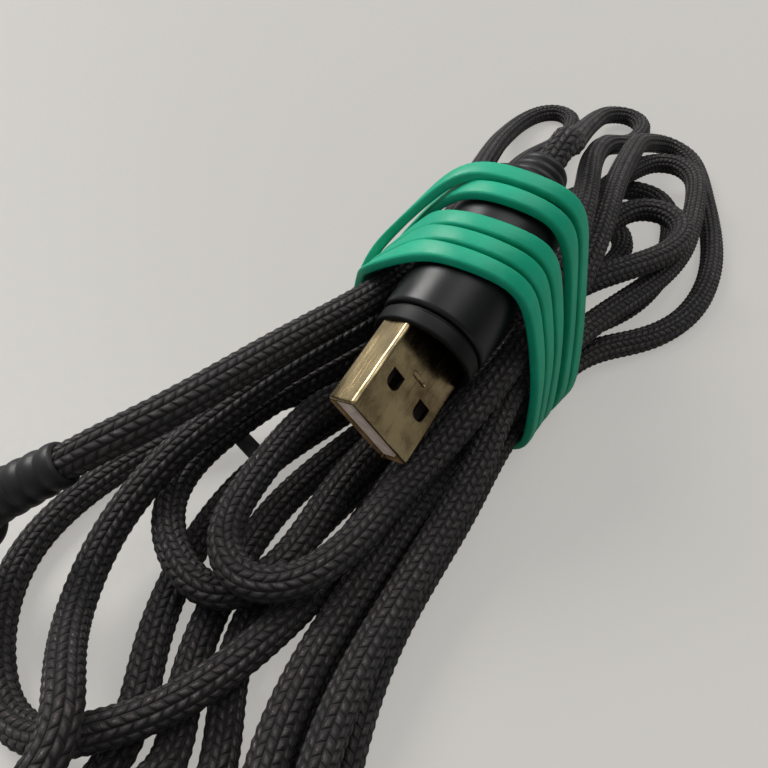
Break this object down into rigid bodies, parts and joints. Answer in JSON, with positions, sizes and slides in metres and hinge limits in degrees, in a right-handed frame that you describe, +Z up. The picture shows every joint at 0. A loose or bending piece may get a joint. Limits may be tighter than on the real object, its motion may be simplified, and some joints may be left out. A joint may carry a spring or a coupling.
{
  "type": "charging cable",
  "caption": "Braided charging cable with a full-size USB plug and a micro plug, folded into a hank and held at its waist by a wound rubber band.",
  "frame": {"origin": "middle of the underside of the whole hank, on the surface it lies on", "axes": "+X along the hank away from the USB-A plug's mouth, +Z up"},
  "size_m": [0.2054, 0.0792, 0.0378],
  "materials": {
    "gold_plated_shell": "pale gold plating, satin",
    "white_insulator": "moulded, plain",
    "dark_insulator": "moulded, plain",
    "gold_contacts": "gold flash",
    "spring_steel": "plain",
    "gloss_black_plastic": "gloss",
    "satin_black_plastic": "satin",
    "boot_plastic": "matt, ribbed",
    "inner_jacket": "plain jacket",
    "tie_plastic": "plastic over a wire",
    "core_red": "wire insulation",
    "core_white": "wire insulation",
    "core_green": "wire insulation",
    "core_black": "wire insulation",
    "cord_braid": "woven sleeve of fine black yarns with warm grey highlights",
    "green_rubber": "smooth, slightly shiny"
  },
  "bodies": {
    "cable": {"usb_a_shell": "gold_plated_shell", "usb_a_tongue": "white_insulator", "usb_a_contact_1": "gold_contacts", "usb_a_contact_2": "gold_contacts", "usb_a_contact_3": "gold_contacts", "usb_a_contact_4": "gold_contacts", "usb_a_collar": "gloss_black_plastic", "usb_a_housing": "satin_black_plastic", "usb_a_boot": "boot_plastic", "usb_a_inner_cable": "inner_jacket", "usb_a_crimp_ferrule": "spring_steel", "usb_a_wire_red": "core_red", "usb_a_wire_white": "core_white", "usb_a_wire_green": "core_green", "usb_a_wire_black": "core_black", "micro_shell": "gold_plated_shell", "micro_tongue": "dark_insulator", "micro_contact_1": "gold_contacts", "micro_contact_2": "gold_contacts", "micro_contact_3": "gold_contacts", "micro_contact_4": "gold_contacts", "micro_contact_5": "gold_contacts", "micro_collar": "gloss_black_plastic", "micro_housing": "satin_black_plastic", "micro_boot": "boot_plastic", "micro_inner_cable": "inner_jacket", "micro_crimp_ferrule": "spring_steel", "micro_wire_red": "core_red", "micro_wire_white": "core_white", "micro_wire_green": "core_green", "micro_wire_black": "core_black", "braided_cord": "cord_braid", "rubber_band": "green_rubber", "wire_tie": "tie_plastic"},
    "left latch": {"micro_latch_left": "spring_steel"},
    "right latch": {"micro_latch_right": "spring_steel"}
  },
  "joints": [
    {"name": "left latch spring", "type": "hinge", "parent": "cable", "child": "left latch", "pos_m": [-0.07729, 0.03488, 0.00464], "axis": [-0.7815, -0.6239, 0], "range_deg": [0, 6.5], "stiffness_Nm_per_rad": 0.01, "springref_deg": -1.15},
    {"name": "right latch spring", "type": "hinge", "parent": "cable", "child": "right latch", "pos_m": [-0.08127, 0.0317, 0.00464], "axis": [-0.7815, -0.6239, 0], "range_deg": [0, 6.5], "stiffness_Nm_per_rad": 0.01, "springref_deg": -1.15}
  ]
}
